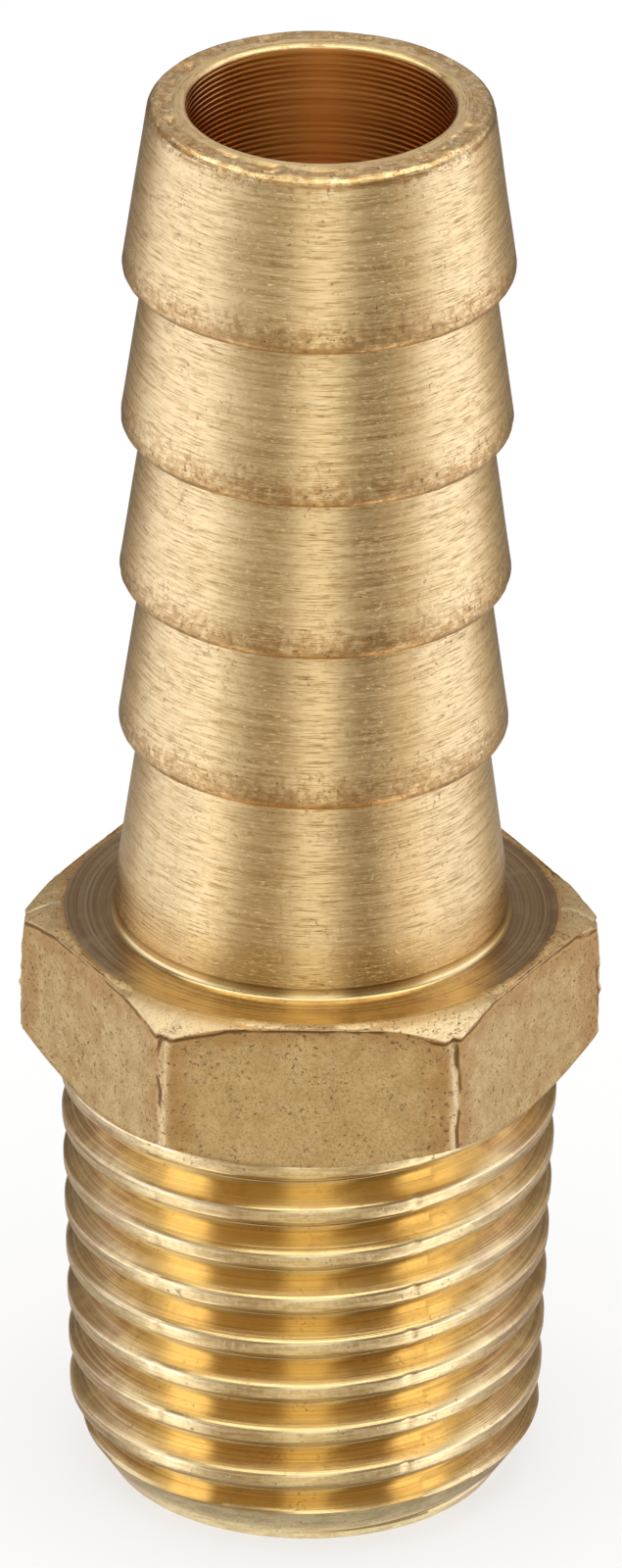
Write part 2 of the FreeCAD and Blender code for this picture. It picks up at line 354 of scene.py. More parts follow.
# %% Group of rings left by a tool
def make_rings():
    """Noise drawn out round the axis: x and y times a small scale, and the kept run times a large one."""
    tree, given, out = new_group("tool rings", "Height", Run=0.0, Round=0.2, Steep=8.0)
    parts = add_node(tree, "SeparateXYZ", {0: given["Place"]}).outputs
    x = times(parts["X"], given["Round"])
    y = times(parts["Y"], given["Round"])
    z = times(given["Run"], given["Steep"])
    stretched = add_node(tree, "CombineXYZ", {0: x, 1: y, 2: z}).outputs[0]
    tree.links.new(noise_of(stretched, 1.0, 4.0, 0.6), out)
    return tree


# %% Group of dark specks
def make_specks():
    """Peaks of a fine noise, kept only where a broad noise plus the amount is high, so that they come in clusters."""
    tree, given, out = new_group("specks", "Mask", Grains=6.0, Amount=0.5)
    fine = noise_of(given["Place"], given["Grains"], 3.0, 0.6)
    broad = noise_of(given["Place"], 1.1, 3.0)
    clusters = eased(math_of("ADD", broad, given["Amount"]), 0.90, 1.15)
    tree.links.new(times(eased(fine, 0.58, 0.68), clusters), out)
    return tree


# %% Group of tarnish and of scratches
def make_tarnish():
    """Mottled clouds: noise pushed up by a zone value, so that tarnish gathers where the zone is near 1."""
    tree, given, out = new_group("tarnish", "Mask", Zone=0.0, Scale=1.6)
    cloud = noise_of(given["Place"], given["Scale"], 6.0, 0.65)
    tree.links.new(eased(added(given["Zone"], 0.30, cloud), 0.52, 0.86), out)
    return tree


def make_scratches():
    """Thin strokes in three slanting directions: stretched noise of which only the peaks are kept."""
    tree, given, out = new_group("scratches", "Mask", Scale=1.0)
    total = 0.0
    for turn, lengthways in ((0.7, 0.5), (-0.5, 0.4), (1.3, 0.7)):
        slanted = add_node(tree, "Mapping", {
            "Vector": given["Place"], "Rotation": (turn, turn * 0.6, turn), "Scale": (lengthways, 9.0, 9.0)})
        stroke = eased(noise_of(slanted.outputs[0], given["Scale"], 1.0), 0.67, 0.74)
        total = larger(stroke, total)
    tree.links.new(total, out)
    return tree


RINGS, SPECKS, TARNISH, SCRATCHES = make_rings(), make_specks(), make_tarnish(), make_scratches()
print("node groups", [group.name for group in bpy.data.node_groups])


# %% Start and end of every finish
def new_material(name):
    """A material made of nodes, and its tree."""
    material = bpy.data.materials.new(name)
    material.use_nodes = True
    return material, material.node_tree


def start_finish(name, anisotropy=0.0):
    """A new metal: its material, the object's own coordinates in mm, and a reader of kept values."""
    material, tree = new_material(name)
    for label, value in (("Metallic", 1.0), ("Anisotropic", anisotropy), ("Anisotropic Rotation", 0.25)):
        tree.nodes["Principled BSDF"].inputs[label].default_value = value
    own = add_node(tree, "TexCoord").outputs["Object"]
    place = add_node(tree, "VectorMath", {0: own, "Scale": 1.0 / MM}, operation="SCALE").outputs[0]

    def kept(label):
        return add_node(tree, "Attribute", attribute_name=label).outputs["Fac"]

    return material, place, kept


def finish_with(material, colour, roughness, height, depth):
    """Joins colour and roughness to the shader, and a height times a depth in mm through a Bump node to its normal."""
    tree = material.node_tree
    bump = add_node(tree, "Bump", {"Height": height, "Distance": depth * MM, "Strength": 1.0}).outputs[0]
    for label, value in (("Base Color", colour), ("Roughness", roughness), ("Normal", bump)):
        tree.links.new(value, tree.nodes["Principled BSDF"].inputs[label])
    return material


# %% [markdown]
# The tail and the neck were turned, then tumbled, which leaves a pale satin
# brass with fine rings, short strokes and small pits. Tarnish gathers in the
# lee of each ring's edge, and painted shade darkens the crease right at that
# edge and the fold at the lip's outer edge. The lip's bright spots are wear
# with a painted highlight, and the neck's foot carries a painted golden
# reflection of the shoulder. The rings follow a value kept at each point, its
# height less its radius, so that they stay level on walls and round on faces.

# %% Satin brass
PALE_BRASS = (0.95, 0.71, 0.37, 1.0)
DULL_BRASS = (0.69, 0.47, 0.205, 1.0)
DASH_BROWN = (0.44, 0.28, 0.11, 1.0)
NECK_REFLECTED_GOLD = (0.72, 0.49, 0.20, 1.0)
WORN_AND_HIGHLIGHT_BRASS = (0.98, 0.79, 0.46, 1.0)
TARNISH_BROWN = (0.50, 0.28, 0.10, 1.0)
PIT_AND_SHADE_BROWN = (0.20, 0.11, 0.045, 1.0)


def make_satin_brass():
    """Pale brass with rings, dark dashes, bright strokes, lee tarnish; painted shade, highlight, neck reflection."""
    material, place, kept = start_finish("satin brass", 0.75)
    run, edge, worn = kept("run"), kept("shade"), kept("burr")
    dashes = use_group(RINGS, place, run, 1.7, 29.0)
    rings = use_group(RINGS, place, run, 0.35, 12.0)
    pits = use_group(SPECKS, place, 8.0, added(edge, 0.31, 0.44))
    stain = use_group(TARNISH, place, edge, 4.5)
    strokes = use_group(SCRATCHES, place, 1.8)
    streak = added(rings, 0.5, times(dashes, 0.5))
    # Painted golden reflection of the shoulder on the neck's foot, from the kept land; the finish is smoother there
    # too.
    smooth_reflected_gold = times(kept("land"), eased(streak, 0.35, 0.65, 1.0, 0.6))
    scored = eased(dashes, 0.34, 0.43, 0.66, 0.0)
    # The kept burr is the lip's wear with a painted highlight: it lightens and smooths the satin there.
    bright = times(larger(strokes, worn), 0.8)
    # Besides pits, the dark share is painted shade where the kept shade passes 1.2: each ledge's crease and the lip's
    # fold.
    dark = larger(times(pits, 0.7), eased(edge, 1.2, 1.8))
    colour = layered(
        DULL_BRASS, (eased(streak, 0.40, 0.56), PALE_BRASS), (smooth_reflected_gold, NECK_REFLECTED_GOLD), (scored, DASH_BROWN),
        (bright, WORN_AND_HIGHLIGHT_BRASS), (times(stain, 0.84), TARNISH_BROWN), (dark, PIT_AND_SHADE_BROWN))
    roughness = added(smooth_reflected_gold, -0.11, eased(rings, 0.3, 0.7, 0.26, 0.35))
    roughness = added(worn, -0.16, roughness)
    lined = added(dashes, 0.8, added(scored, -0.5, rings))
    height = added(dark, -0.8, added(strokes, 0.4, lined))
    return finish_with(material, colour, roughness, height, 0.008)


satin_brass = make_satin_brass()

# %% [markdown]
# The thread and the shoulder were cut last, so they are golden and smoother,
# with the marks of the tool's feed. The lands between the grooves keep the
# paler skin of the first turning, and a fine burr along their tops gets a
# painted highlight. Painted shade darkens the roots and each land's foot, the
# shoulder, and the thread's two sides towards +X and -X.

# %% Cut brass
GOLD_BRASS = (0.89, 0.71, 0.36, 1.0)
DEEP_GOLD = (0.84, 0.62, 0.28, 1.0)
BURR_HIGHLIGHT_BRASS = (1.0, 0.92, 0.74, 1.0)
STAIN_AND_SHADE_BROWN = (0.50, 0.30, 0.17, 1.0)
LINE_AND_SHADE_BROWN = (0.48, 0.33, 0.15, 1.0)
PAINTED_SHADE_BROWN = (0.36, 0.22, 0.09, 1.0)
LINE_PALE = (0.95, 0.78, 0.52, 1.0)


def make_cut_brass():
    """Golden brass, fine and wide feed lines; painted shade at the sides and in roots, painted highlight on burrs."""
    material, place, kept = start_finish("cut brass", 0.88)
    run, worn = kept("run"), kept("shade")
    fine = use_group(RINGS, place, run, 0.08, 22.0)
    wide = use_group(RINGS, place, run, 0.05, 10.0)
    pits = use_group(SPECKS, place, 9.0, 0.46)
    # Here worn is the kept shade: painted shade on the thread's sides and the shoulder, shown as stain and lines.
    stain = use_group(TARNISH, place, worn, 1.2)
    stain = times(stain, eased(fine, 0.42, 0.60, 0.85, 0.35))
    lines = times(eased(wide, 0.36, 0.44, 1.0, 0.0), eased(worn, 0.0, 1.0, 0.40, 0.85))
    pale = times(eased(wide, 0.54, 0.60), times(worn, 0.65))
    # The kept land paints shade in roots, at lands' feet and on the shoulder; the kept burr paints a highlight.
    colour = layered(
        DEEP_GOLD, (eased(wide, 0.35, 0.65), GOLD_BRASS), (lines, LINE_AND_SHADE_BROWN), (kept("burr"), BURR_HIGHLIGHT_BRASS),
        (stain, STAIN_AND_SHADE_BROWN), (pale, LINE_PALE), (kept("land"), PAINTED_SHADE_BROWN), (times(pits, 0.5), PIT_AND_SHADE_BROWN))
    height = added(pits, -0.5, added(wide, 2.0, fine))
    return finish_with(material, colour, eased(fine, 0.3, 0.7, 0.15, 0.22), height, 0.0028)


cut_brass = make_cut_brass()

# %% Skin of the lands
SKIN_PALE = (0.98, 0.82, 0.48, 1.0)
SKIN_DULL = (0.73, 0.56, 0.27, 1.0)


def make_skin_brass():
    """Torn skin: level dashes, grain, few pits; painted shade in lines and at the foot, painted burr highlight."""
    material, place, kept = start_finish("skin brass")
    run, burr = kept("run"), kept("burr")
    dashes = use_group(RINGS, place, run, 1.2, 13.0)
    long = use_group(RINGS, place, run, 0.07, 11.0)
    pits = use_group(SPECKS, place, 6.0, 0.52)
    torn = added(dashes, 0.6, times(noise_of(place, 6.0, 4.0, 0.7), 0.4))
    # Painted shade: in lines on the thread's sides and at each land's foot. The burr gets a painted highlight.
    shaded_lines = times(kept("shade"), eased(long, 0.44, 0.58, 0.95, 0.15))
    colour = layered(
        SKIN_DULL, (eased(torn, 0.40, 0.58), SKIN_PALE), (shaded_lines, STAIN_AND_SHADE_BROWN),
        (times(kept("land"), 0.5), LINE_AND_SHADE_BROWN), (burr, BURR_HIGHLIGHT_BRASS), (times(pits, 0.6), PIT_AND_SHADE_BROWN))
    roughness = added(burr, -0.14, eased(torn, 0.35, 0.65, 0.33, 0.42))
    return finish_with(material, colour, roughness, added(pits, -0.6, torn), 0.025)


skin_brass = make_skin_brass()

# %% [markdown]
# The hexagon keeps the drawn bar's skin, blasted to an even grain: sandy, matt
# and pitted. Its corners and rims were struck in handling, so they are brighter,
# partly as wear and partly as a painted highlight. A fold under the rim and a
# crease beside each corner are painted dark as shade, and the flats and
# chamfers towards +X and -X carry painted shade too.

# %% Blasted brass
SAND_BRASS = (0.88, 0.67, 0.34, 1.0)
SAND_DARK = (0.64, 0.45, 0.195, 1.0)
EDGE_BROWN = (0.58, 0.33, 0.12, 1.0)
CHIP_AND_HIGHLIGHT_GOLD = (1.0, 0.81, 0.48, 1.0)


def make_blasted_brass():
    """Two grain sizes in colour and height, clustered pits; kept values give painted fold shade and rim highlight."""
    material, place, kept = start_finish("blasted brass")
    edge = kept("shade")
    grain = noise_of(place, 12.0, 4.0, 0.75)
    pits = use_group(SPECKS, place, 9.0, added(edge, 0.25, 0.55))
    specks = use_group(SPECKS, place, 12.0, 0.66)
    # The stain is tarnish by the ridges and rim, and painted shade on the sides towards +X and -X.
    stain = use_group(TARNISH, place, edge, 1.8)
    shade = added(grain, 0.75, times(noise_of(place, 1.4, 5.0, 0.6), 0.25))
    # The kept burr is worn rims with a painted highlight on ridges and the chamfer strip, weaker on the sides.
    chips_and_highlight = times(kept("burr"), eased(grain, 0.30, 0.55, 0.45, 1.0))
    # Beyond pits and specks, the dark share is painted shade in the fold and creases, where the kept shade passes 1.2.
    dark = larger(larger(pits, times(specks, 0.7)), eased(edge, 1.2, 1.8))
    colour = layered(
        SAND_DARK, (eased(shade, 0.40, 0.60), SAND_BRASS), (times(stain, 0.75), EDGE_BROWN),
        (chips_and_highlight, CHIP_AND_HIGHLIGHT_GOLD), (times(dark, 0.85), PIT_AND_SHADE_BROWN))
    roughness = eased(chips_and_highlight, 0.0, 1.0, 0.50, 0.34)
    return finish_with(material, colour, roughness, added(dark, -1.0, grain), 0.025)


blasted_brass = make_blasted_brass()

# %% [markdown]
# The bore was drilled and then bored with a steady feed, which leaves an even
# screw of fine grooves. Light that reaches the eye has met the wall several
# times, which deepens the brass, and an amber colour carries it to the orange
# that the photograph shows.

# %% Bored brass
FEED = 0.165
BORE_AMBER = (0.91, 0.46, 0.12, 1.0)
BORE_DEEP = (0.84, 0.37, 0.08, 1.0)
BORE_SHADY = (0.34, 0.18, 0.08, 1.0)


def make_bored_brass():
    """Amber brass, height a sine along the axis, one wave per feed; kept land gives stronger waves and painted shade.
    """
    material, place, kept = start_finish("bored brass", 0.80)
    # The kept land paints shade on the bore's two sides towards +X and -X, where its grooves are stronger and smoother.
    sharp_and_side_shade = kept("land")
    up = add_node(place.id_data, "SeparateXYZ", {0: place}).outputs["Z"]
    wave = eased(math_of("SINE", times(up, 2.0 * np.pi / FEED)), -1.0, 1.0)
    fine = use_group(RINGS, place, kept("run"), 0.10, 9.0)
    colour = layered(
        BORE_DEEP, (eased(fine, 0.3, 0.7), BORE_AMBER), (times(sharp_and_side_shade, 0.85), BORE_SHADY))
    roughness = added(sharp_and_side_shade, -0.24, eased(fine, 0.3, 0.7, 0.36, 0.42))
    height = added(times(sharp_and_side_shade, wave), -2.2, times(fine, 0.6))
    return finish_with(material, colour, roughness, height, 0.008)


bored_brass = make_bored_brass()
FINISHES = [satin_brass, cut_brass, blasted_brass, bored_brass, skin_brass]
SATIN, CUT, BLASTED, BORED, SKIN = range(5)
print("finishes", [finish.name for finish in FINISHES])

# %% [markdown]
# The hose tail is four rings, each a cone with a rounded lower edge that bites
# the hose. It is one profile carried round the axis. The lip at the top took
# the knocks of handling, so its outer half is dented, while the ring beside
# the bore stays smooth.

# %% Sizes of the hose tail
BORE = 3.625
LEDGES = (22.55, 27.13, 31.71, 36.29)
BARB_PITCH = 4.58
TAIL_TOP = 41.30
RING_EDGE = 5.37
RING_ROOT = 4.73
EDGE_ROUND = 0.29
LIP_EDGE = 4.67
BORE_SPLIT = 37.1
TAIL_COLUMNS = 344

tail_corners = [(BORE, LEDGES[0], 0, 0, 0.6)]
for ledge in LEDGES:
    tail_corners.append((RING_EDGE, ledge, EDGE_ROUND, 7, 0.27))
    tail_corners.append((RING_ROOT, ledge + BARB_PITCH, 0, 0, 0.16))
tail_corners += [
    (LIP_EDGE, TAIL_TOP, 0.30, 8, 0.055),
    (BORE, TAIL_TOP, 0.18, 6, FEED / 6.0),
    (BORE, BORE_SPLIT, 0, 0, 1.5),
]
tail_rows = profile_rows(tail_corners)
print("tail profile rows", len(tail_rows))

# %% Wear of the hose tail
LIP_LOW, LIP_INSIDE, LIP_SPARED = 40.75, 3.92, 4.42
KNOCK_DEPTH, LIP_KNOCKS = 0.16, (36, 0.45, 7)
NICK_DEPTH, LIP_NICKS = 0.10, (110, 0.16, 11)
LIP_GLINTS = (60, 0.35, 19)
FOLD_LINE, FOLD_WIDTH, LIP_FOLD = 41.03, 0.07, 0.030
WEAR_DEPTH, EDGE_WEAR = 0.022, (70, 0.5, 23)
SWAY_DEPTH = 0.006
BORE_GROOVE = 0.022


def tail_surface(rows, columns):
    """Points of the profile less lip dents, a fold, worn edges, sway and bore grooves, and the values kept at them."""
    radius = np.repeat(rows[:, :1], columns, axis=1)
    height = np.repeat(rows[:, 1:], columns, axis=1)
    along = np.repeat(run_along(rows)[:, None], columns, axis=1)
    around = np.repeat(np.arange(columns)[None, :] / columns, len(rows), axis=0)
    bored = radius < BORE + 0.01
    outside = ~bored & (height > LEDGES[0] + 0.001)
    lip = smooth((height - LIP_LOW) / 0.35) * smooth((radius - LIP_INSIDE) / 0.25)
    spared = 1.0 - 0.9 * smooth((radius - LIP_SPARED) / 0.15)
    knock = patches(around, along, LIP_KNOCKS, 0.10)
    nick = patches(around, along, LIP_NICKS, -0.15)
    dent = lip * spared * (KNOCK_DEPTH * knock + NICK_DEPTH * nick)
    drift = FOLD_LINE + 0.05 * round_lumps(around, 26, 13)
    torn = smooth(1.6 * round_lumps(around, 17, 17) + 0.9)
    # The fold is a small groove; its dark colour is painted shade, added to the kept shade.
    fold = outside * (radius > 4.3) * torn * bump_at(height, drift, FOLD_WIDTH)
    edge = np.zeros_like(radius)
    lee = np.zeros_like(radius)
    ledge_shade_strength = 0.6 + 0.5 * round_lumps(around, 80, 29)
    for ledge in LEDGES:
        edge = np.maximum(edge, bump_at(height, ledge + 0.20, 0.45))
        above = (height > ledge - 0.01) * (1.0 - (height - ledge) / 1.5)
        # Painted shade: a dark line in the crease at each ring's lower edge, which lifts the kept shade past 1.2.
        line = ledge_shade_strength * (above > 0.0) * bump_at(height, ledge + 0.03, 0.13)
        lee = np.maximum(lee, smooth(above) + 0.80 * line)
    wear = WEAR_DEPTH * outside * edge * patches(around, along, EDGE_WEAR, 0.3)
    sway = SWAY_DEPTH * outside * (lumps(around, along, 9, 1.6, 31) - 1.0) * (1.0 - edge)
    # On the bore's two sides towards +X and -X the grooves are stronger and the finish paints shade.
    sharp_and_side_shade = bored * (0.05 + 0.95 * np.cos(2.0 * np.pi * around) ** 2)
    wave = smooth(0.5 + 0.5 * np.sin(2.0 * np.pi * height / FEED))
    groove = BORE_GROOVE * sharp_and_side_shade * smooth((height - BORE_SPLIT + 0.1) / 0.3) * wave
    radius = radius - wear + sway + groove - dent * 0.55 * smooth((radius - 4.2) / 0.3) - LIP_FOLD * fold
    height = height - dent
    # The lip's glints are wear with a painted highlight.
    glint = lip * patches(around, along, LIP_GLINTS, 0.45, 1.6)
    return turned_points(radius, height, around), {
        "run": height - radius, "shade": 0.95 * outside * lee + 0.68 * lip + fold,
        "land": sharp_and_side_shade, "burr": glint * (1.0 - fold)}


tail_points, tail_kept = tail_surface(tail_rows, TAIL_COLUMNS)
in_bore = tail_kept["land"][:, 0] > 0.0
tail_finish = np.where(in_bore & np.roll(in_bore, -1), BORED, SATIN)
tail = add_piece(
    "barbed_tail", tail_points, ring_faces(len(tail_rows), TAIL_COLUMNS), FINISHES,
    np.repeat(tail_finish, TAIL_COLUMNS), **tail_kept)

# %% [markdown]
# The hexagon is a bar with six flats whose corners were turned away by a cone,
# so each flat has an arched top. Rows run from its underside up the flats, in
# over the chamfers and the turned shoulder, and up the neck. Columns crowd at
# the corners, where the ridges are rough.

# %% Sizes of the hexagon and the neck
APOTHEM = 6.95
CORNER = 8.02
CORNER_TOP = 7.86
CORNER_LEAN = 1.50
SHOULDER = 16.85
UNDERSIDE = 12.50
SHOULDER_EDGE = 7.20
CHAMFER_SLOPE = np.tan(np.radians(30.0))
NECK_FOOT = 5.42
NECK_BEND = np.array([5.30, 18.35])
NECK_TOP = np.array([RING_ROOT, LEDGES[0]])
HEX_CORNERS = 6
COLUMNS_PER_CORNER = 132
RIM_INSIDE = 6.70
RIM_ROUND = 0.16
BASE_EDGE = 6.84


def crowded_turns():
    """Shares of a turn, close together near each corner: a straight part plus a cube, repeated for the six corners."""
    step = np.arange(COLUMNS_PER_CORNER) * 2.0 / COLUMNS_PER_CORNER - 1.0
    offset = (0.45 * step + 0.55 * step ** 3) / (2 * HEX_CORNERS)
    return np.concatenate([offset + corner / HEX_CORNERS for corner in range(HEX_CORNERS)])


hex_turn = crowded_turns()
from_corner = np.abs(hex_turn * HEX_CORNERS - np.round(hex_turn * HEX_CORNERS)) * 2.0 * np.pi / HEX_CORNERS
flat_radius = APOTHEM / np.cos(np.pi / HEX_CORNERS - from_corner)
print("hexagon columns", len(hex_turn), "radius", round(flat_radius.min(), 3), "to", round(flat_radius.max(), 3))


# %% Hexagon, shoulder and neck
def between(start, end, steps):
    """Rows in even steps from the start, which is left out, to the end."""
    return start + (end - start) * np.linspace(0.0, 1.0, steps + 1)[1:, None]


def top_at(radius):
    """Height of the top: the shoulder less the slope times the way beyond its edge, which a square root eases."""
    beyond = radius - SHOULDER_EDGE
    way = np.maximum(0.0, (beyond + np.sqrt(beyond ** 2 + RIM_ROUND ** 2)) / 2.0 - 0.02)
    return SHOULDER - way * CHAMFER_SLOPE


top_radius = np.minimum(flat_radius, CORNER_TOP)
top_height = top_at(top_radius)


def hexagon_surface():
    """Rows of radius and height: base plane, lower chamfer, flats, top chamfer, shoulder, fillet, neck and bore."""
    one = np.ones_like(hex_turn)
    base = np.array([[BORE], [5.2], [BASE_EDGE]]) * one
    low_radius = np.minimum(flat_radius, CORNER)
    low_height = UNDERSIDE + (low_radius - APOTHEM) * CHAMFER_SLOPE
    lower = between(BASE_EDGE * one, low_radius, 7)
    share = np.linspace(0.0, 1.0, 45)[1:, None]
    share = 0.5 * share + 0.5 * np.sin(share * np.pi / 2.0)
    side_height = low_height + (top_height - low_height) * share
    cone_start = SHOULDER - (CORNER_TOP - SHOULDER_EDGE) * CHAMFER_SLOPE
    lean = np.clip((side_height - cone_start) / CORNER_LEAN + 1.0, 0.0, 1.0)
    sides = np.minimum(flat_radius, CORNER - (CORNER - CORNER_TOP) * lean)
    foot = arc_points(np.array([SHOULDER_EDGE, SHOULDER]), np.array([NECK_FOOT, SHOULDER]), NECK_BEND, 0.16, 8)
    rim_radius = np.minimum(SHOULDER_EDGE, top_radius - 0.10)
    top = np.concatenate([between(top_radius, rim_radius, 10), between(rim_radius, foot[0, 0], 24)])
    neck = np.concatenate([
        foot[1:], straight_points(foot[-1], NECK_BEND, 0.2), [NECK_BEND],
        straight_points(NECK_BEND, NECK_TOP, 0.25), [NECK_TOP],
        [[4.2, LEDGES[0]], [BORE, LEDGES[0]], [BORE, 19.0], [BORE, 15.5]]])
    return np.concatenate([base, lower, sides, top, neck[:, :1] * one]), np.concatenate([
        0.0 * base + UNDERSIDE, UNDERSIDE + np.maximum(0.0, lower - APOTHEM) * CHAMFER_SLOPE,
        side_height, top_at(top), neck[:, 1:] * one])


hex_radius, hex_height = hexagon_surface()
hex_rows, hex_columns = hex_radius.shape
print("hexagon grid", hex_rows, "rows by", hex_columns, "columns")


# %% Rough corners, burred rim and finishes of the hexagon
RIDGE_DEPTH, RIDGE_KNOCKS = 0.055, (400, 0.30, 41)
BITE_DEPTH, RIM_BITES = 0.03, (150, 0.8, 43)
HOLLOW_DEPTH, HOLLOWS = 0.008, (40, 1.1, 47)
CORNER_ROUND, CORNER_PUSH = 0.20, 0.05
FOLD_DEPTH, CREASE_DEPTH = 0.045, 0.030
RIM_DROP = 0.09
UNTOUCHED = 14.4
GOLD_TOP = 18.75


def roughen_hexagon(radius, height):
    """Pushes the grid inwards: knocked round corners with creases, a bitten rim, a broken fold below it, faint hollows.

    One ring at the height UNTOUCHED keeps its full size. The values kept at the points come last:
    tarnish, painted shade in the fold, the creases and on the sides, and a painted highlight on ridges and rim.
    """
    run = height - radius
    around = np.repeat(hex_turn[None, :], hex_rows, axis=0)
    beside = np.repeat(from_corner[None, :], hex_rows, axis=0) * radius
    outer = (radius > 6.9) & (height > UNDERSIDE + 0.001)
    edge = outer * smooth((CORNER_TOP + 0.45 - radius) / 0.2 + 1.0)
    ridge = edge * smooth(1.0 - beside / 0.42)
    glint = edge * smooth(1.0 - beside / (0.27 + 0.06 * lumps(around * 0.0, height, 1, 0.35, 40)))
    below_rim = np.hypot(radius - top_radius, height - top_height)
    side = outer & (height < top_height - 0.01)
    strip = outer & ~side & (radius > RIM_INSIDE)
    knock = patches(around, height, RIDGE_KNOCKS, 0.35)
    bite = patches(around, height, RIM_BITES, -0.05)
    hollow = 0.5 + 0.5 * lumps(around, height, *HOLLOWS)
    wander = 0.13 + 0.05 * round_lumps(around, 74, 53) + 0.03 * round_lumps(around, 190, 54)
    broken = smooth(1.2 * round_lumps(around, 60, 55) + 1.4)
    fold = side * broken * bump_at(below_rim, wander, 0.085)
    corner = np.round(hex_turn * HEX_CORNERS) / HEX_CORNERS
    sway = 0.10 * lumps(corner + 0.0 * height, height, 6, 0.55, 57)
    uneven = smooth(1.5 * rough_lumps(around, height, 12, 0.5, 59) + 0.8)
    beside_line = bump_at(beside * np.sign(hex_turn - corner), np.sign(hex_turn - 0.75) * 0.15 + sway, 0.12)
    crease = side * edge * uneven * beside_line
    push = RIDGE_DEPTH * ridge * knock + BITE_DEPTH * strip * bite + HOLLOW_DEPTH * side * hollow * smooth(beside)
    push = push + CORNER_PUSH * edge * np.clip(1.0 - beside / CORNER_ROUND, 0.0, 1.0) ** 2
    push = (push + FOLD_DEPTH * fold + CREASE_DEPTH * crease) * (1.0 - bump_at(height, UNTOUCHED, 0.2))
    outwards = smooth((radius - RIM_INSIDE) / (APOTHEM - RIM_INSIDE))
    over_flat = smooth((SHOULDER_EDGE + 0.1 - top_radius) / 0.2)
    halo = side * np.maximum(bump_at(beside, 0.2, 1.1), smooth(1.1 - below_rim / 0.9))
    # Painted shade: the fold under the rim and the crease beside each corner are turned dark brown.
    dark = np.maximum(fold, 0.9 * crease)
    radius = radius - push
    height = height - strip * (RIM_DROP * outwards * over_flat + BITE_DEPTH * bite)
    # Painted shade on the two sides towards +X and -X, browning the shoulder, chamfers and flats there.
    painted_side_shade = smooth((np.abs(np.cos(2.0 * np.pi * around)) - 0.55) / 0.35)
    on_shoulder = (height > SHOULDER - 0.6) & (radius > NECK_FOOT + 0.1)
    # The shoulder gets painted shade, deepest at the two sides.
    ringed = np.maximum(painted_side_shade, 0.45 * (radius < RIM_INSIDE)) * smooth((7.3 - radius) / 0.7) * on_shoulder
    shade = np.clip(halo + ringed + 0.45 * painted_side_shade * (radius > APOTHEM - 0.05), 0.0, 1.0) + dark
    # A painted golden reflection on the neck's foot, kept as land; the shoulder's face gets a little painted shade.
    golden = smooth((GOLD_TOP - height) / 0.7) * (height > SHOULDER + 0.30)
    # The burr is wear with a painted highlight on the ridges and the chamfer strip, weaker on the sides.
    burr = np.clip(0.9 * glint + strip * (1.0 - 0.7 * painted_side_shade), 0.0, 1.0) * (1.0 - dark)
    return radius, height, around, {
        "run": run, "shade": shade, "land": golden + 0.22 * (np.abs(height - SHOULDER) < 0.05), "burr": burr}


hex_radius, hex_height, hex_around, hex_kept = roughen_hexagon(hex_radius, hex_height)
next_radius = np.roll(hex_radius, -1, axis=0)
cell_radius = (hex_radius + next_radius) / 2.0
cell_height = (hex_height + np.roll(hex_height, -1, axis=0)) / 2.0
hex_finish = np.full(hex_radius.shape, BLASTED)
hex_finish[(cell_height > SHOULDER - 0.11) & (cell_radius < RIM_INSIDE + 0.06)] = CUT
hex_finish[cell_height > SHOULDER + 0.32] = SATIN
hex_finish[np.maximum(hex_radius, next_radius) < BORE + 0.01] = BORED
hexagon = add_piece(
    "hexagon", turned_points(hex_radius, hex_height, hex_around), ring_faces(hex_rows, hex_columns), FINISHES,
    hex_finish.ravel(), **hex_kept)

# %% [markdown]
# The thread is a groove that climbs as it goes round and tapers as it rises.
# A grid with level rows would cut across its crests and leave steps, so the
# rows climb with the groove instead. After one turn a row meets the row one
# pitch above it. Rows that leave the ends are drawn onto a level ring, and the
# cells that this squeezes flat are left out, which keeps the mesh closed.

# %% Sizes of the thread
PITCH = 1.4111
GROOVE_DEPTH = 0.80
GROOVE_MOUTH = 0.4906
GROOVE_ROOT = 0.0285
GROOVE_START = -2.20
THREAD_TOP = UNDERSIDE
THREAD_RADIUS = 6.87
TAPER = np.tan(np.radians(1.7899))
END_RADIUS = 5.50
END_CHAMFER = 1.55
THREAD_COLUMNS = 384
SNAP = 0.014
FOOT_ROUND, TOP_WORN = 0.055, 0.024
BURR_HEIGHT, FOOT_DEPTH = 0.010, 0.012
NICK_TURNS = ((0.644, 0.007), (0.822, 0.005))
LAND_NICK, LAND_NICKS = 0.035, (420, 0.18, 67)
LAND_HOLLOW, END_RAGGED = 0.006, 0.012
NOISE_JUMP = 7.3

BURR_LINE = PITCH - GROOVE_MOUTH
ACROSS = np.concatenate([
    [0.0, GROOVE_ROOT, 0.12, 0.22, 0.32, 0.41, 0.472, GROOVE_MOUTH, 0.512],
    np.linspace(0.58, 0.80, 4), [0.835, 0.857, 0.879, 0.900, BURR_LINE, 0.945],
    np.linspace(1.00, PITCH - 0.075, 7), [PITCH - GROOVE_ROOT]])
print("rows in one pitch", len(ACROSS))


def crest_radius(height):
    """The tapered cone through the crests: it narrows downwards by the taper."""
    return THREAD_RADIUS - (THREAD_TOP - height) * TAPER


